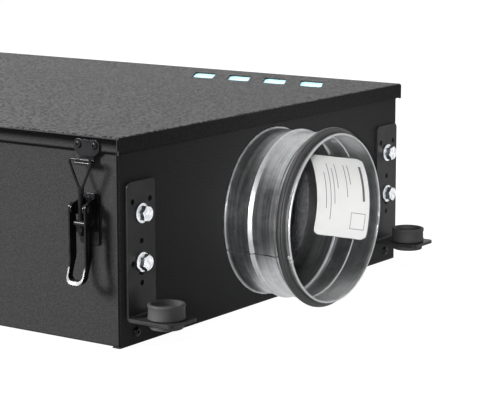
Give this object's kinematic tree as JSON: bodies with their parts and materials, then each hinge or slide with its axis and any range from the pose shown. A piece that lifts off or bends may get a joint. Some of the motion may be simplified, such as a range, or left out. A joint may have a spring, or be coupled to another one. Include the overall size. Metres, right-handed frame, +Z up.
{
  "type": "ventilation heat recovery unit",
  "caption": "Flat inline heat recovery ventilator: folded steel casing with a round duct spigot on each end, latched lift-off lid, hanger brackets, filters, heat core, fan and damper.",
  "frame": {"origin": "bottom centre of the casing's bounding box", "axes": "+X along the ducts towards the front spigot, +Y towards the casing's left side, +Z up through the lid"},
  "size_m": [0.749, 0.5258, 0.19],
  "materials": {
    "casing_powder": "fine-textured black powder coat",
    "bracket_coat": "satin black coat",
    "latch_gloss": "gloss black coat",
    "galvanised": "galvanised, drawn and turned",
    "zinc": "bright zinc plate",
    "rubber": "matte moulded rubber",
    "seal_rubber": "matte grey rubber",
    "foam": "fine bead foam",
    "insert": "satin pale cyan sheet",
    "filter_cloth": "pleated non-woven cloth",
    "core": "fine-celled ceramic block",
    "plastic_black": "moulded black plastic",
    "plastic_grey": "moulded grey plastic",
    "circuit": "solder-resist green",
    "actuator": "moulded orange plastic"
  },
  "bodies": {
    "root": {"tray": "casing_powder", "end_panel_front": "casing_powder", "end_panel_rear": "casing_powder", "foam_liner": "foam", "spigot_front": "galvanised", "spigot_rear": "galvanised", "spigot_seal_front": "seal_rubber", "spigot_seal_rear": "seal_rubber", "fan_plate": "plastic_black", "fan_motor": "plastic_black", "damper_ring": "plastic_grey", "damper_actuator": "actuator", "control_partition": "galvanised", "control_box": "plastic_grey", "control_cover": "plastic_black", "circuit_board": "circuit", "cable_gland": "plastic_black", "bracket_front_right": "bracket_coat", "mount_front_right": "rubber", "bolt_front_right_upper": "zinc", "bolt_front_right_lower": "zinc", "latch_base_front_right": "latch_gloss", "bracket_front_left": "bracket_coat", "mount_front_left": "rubber", "bolt_front_left_upper": "zinc", "bolt_front_left_lower": "zinc", "latch_base_front_left": "latch_gloss", "bracket_rear_right": "bracket_coat", "mount_rear_right": "rubber", "bolt_rear_right_upper": "zinc", "bolt_rear_right_lower": "zinc", "latch_base_rear_right": "latch_gloss", "bracket_rear_left": "bracket_coat", "mount_rear_left": "rubber", "bolt_rear_left_upper": "zinc", "bolt_rear_left_lower": "zinc", "latch_base_rear_left": "latch_gloss"},
    "lid": {"lid": "casing_powder", "lid_insert": "insert", "lid_liner": "foam", "lid_gasket": "rubber", "keeper_front_right": "latch_gloss", "keeper_front_left": "latch_gloss", "keeper_rear_right": "latch_gloss", "keeper_rear_left": "latch_gloss"},
    "filter_front": {"filter_front": "filter_cloth"},
    "filter_rear": {"filter_rear": "filter_cloth"},
    "core": {"heat_core": "core"},
    "impeller": {"fan_impeller": "plastic_grey"},
    "damper": {"damper_blade": "galvanised"},
    "lever_front_right": {"latch_lever_front_right": "latch_gloss"},
    "loop_front_right": {"latch_loop_front_right": "latch_gloss"},
    "lever_front_left": {"latch_lever_front_left": "latch_gloss"},
    "loop_front_left": {"latch_loop_front_left": "latch_gloss"},
    "lever_rear_right": {"latch_lever_rear_right": "latch_gloss"},
    "loop_rear_right": {"latch_loop_rear_right": "latch_gloss"},
    "lever_rear_left": {"latch_lever_rear_left": "latch_gloss"},
    "loop_rear_left": {"latch_loop_rear_left": "latch_gloss"}
  },
  "joints": [
    {"name": "lid_lift", "type": "slide", "parent": "root", "child": "lid", "axis": [0, 0, 1], "range_m": [0, 0.18]},
    {"name": "filter_front_lift", "type": "slide", "parent": "root", "child": "filter_front", "axis": [0, 0, 1], "range_m": [0, 0.108]},
    {"name": "filter_rear_lift", "type": "slide", "parent": "root", "child": "filter_rear", "axis": [0, 0, 1], "range_m": [0, 0.108]},
    {"name": "core_lift", "type": "slide", "parent": "root", "child": "core", "axis": [0, 0, 1], "range_m": [0, 0.09]},
    {"name": "impeller_spin", "type": "hinge", "parent": "root", "child": "impeller", "pos_m": [-0.0754, 0, 0.089], "axis": [1, 0, 0], "continuous": true},
    {"name": "damper_turn", "type": "hinge", "parent": "root", "child": "damper", "pos_m": [-0.245, 0, 0.089], "axis": [0, 1, 0], "range_deg": [0, 90]},
    {"name": "lever_front_right", "type": "hinge", "parent": "root", "child": "lever_front_right", "pos_m": [0.2685, -0.253, 0.126], "axis": [-1, 0, 0], "range_deg": [-5, 140]},
    {"name": "loop_front_right", "type": "hinge", "parent": "lever_front_right", "child": "loop_front_right", "pos_m": [0.2685, -0.2516, 0.1125], "axis": [-1, 0, 0], "range_deg": [-157, 6]},
    {"name": "lever_front_left", "type": "hinge", "parent": "root", "child": "lever_front_left", "pos_m": [0.2685, 0.253, 0.126], "axis": [1, 0, 0], "range_deg": [-5, 140]},
    {"name": "loop_front_left", "type": "hinge", "parent": "lever_front_left", "child": "loop_front_left", "pos_m": [0.2685, 0.2516, 0.1125], "axis": [1, 0, 0], "range_deg": [-157, 6]},
    {"name": "lever_rear_right", "type": "hinge", "parent": "root", "child": "lever_rear_right", "pos_m": [-0.2685, -0.253, 0.126], "axis": [-1, 0, 0], "range_deg": [-5, 140]},
    {"name": "loop_rear_right", "type": "hinge", "parent": "lever_rear_right", "child": "loop_rear_right", "pos_m": [-0.2685, -0.2516, 0.1125], "axis": [-1, 0, 0], "range_deg": [-157, 6]},
    {"name": "lever_rear_left", "type": "hinge", "parent": "root", "child": "lever_rear_left", "pos_m": [-0.2685, 0.253, 0.126], "axis": [1, 0, 0], "range_deg": [-5, 140]},
    {"name": "loop_rear_left", "type": "hinge", "parent": "lever_rear_left", "child": "loop_rear_left", "pos_m": [-0.2685, 0.2516, 0.1125], "axis": [1, 0, 0], "range_deg": [-157, 6]}
  ],
  "couplings": [
    {"joint": "filter_front_lift", "follows": "lid_lift", "ratio": 0.6},
    {"joint": "filter_rear_lift", "follows": "lid_lift", "ratio": 0.6},
    {"joint": "core_lift", "follows": "lid_lift", "ratio": 0.5},
    {"joint": "loop_front_right", "follows": "lever_front_right", "ratio": -1.12},
    {"joint": "loop_front_left", "follows": "lever_front_left", "ratio": -1.12},
    {"joint": "loop_rear_right", "follows": "lever_rear_right", "ratio": -1.12},
    {"joint": "loop_rear_left", "follows": "lever_rear_left", "ratio": -1.12}
  ]
}
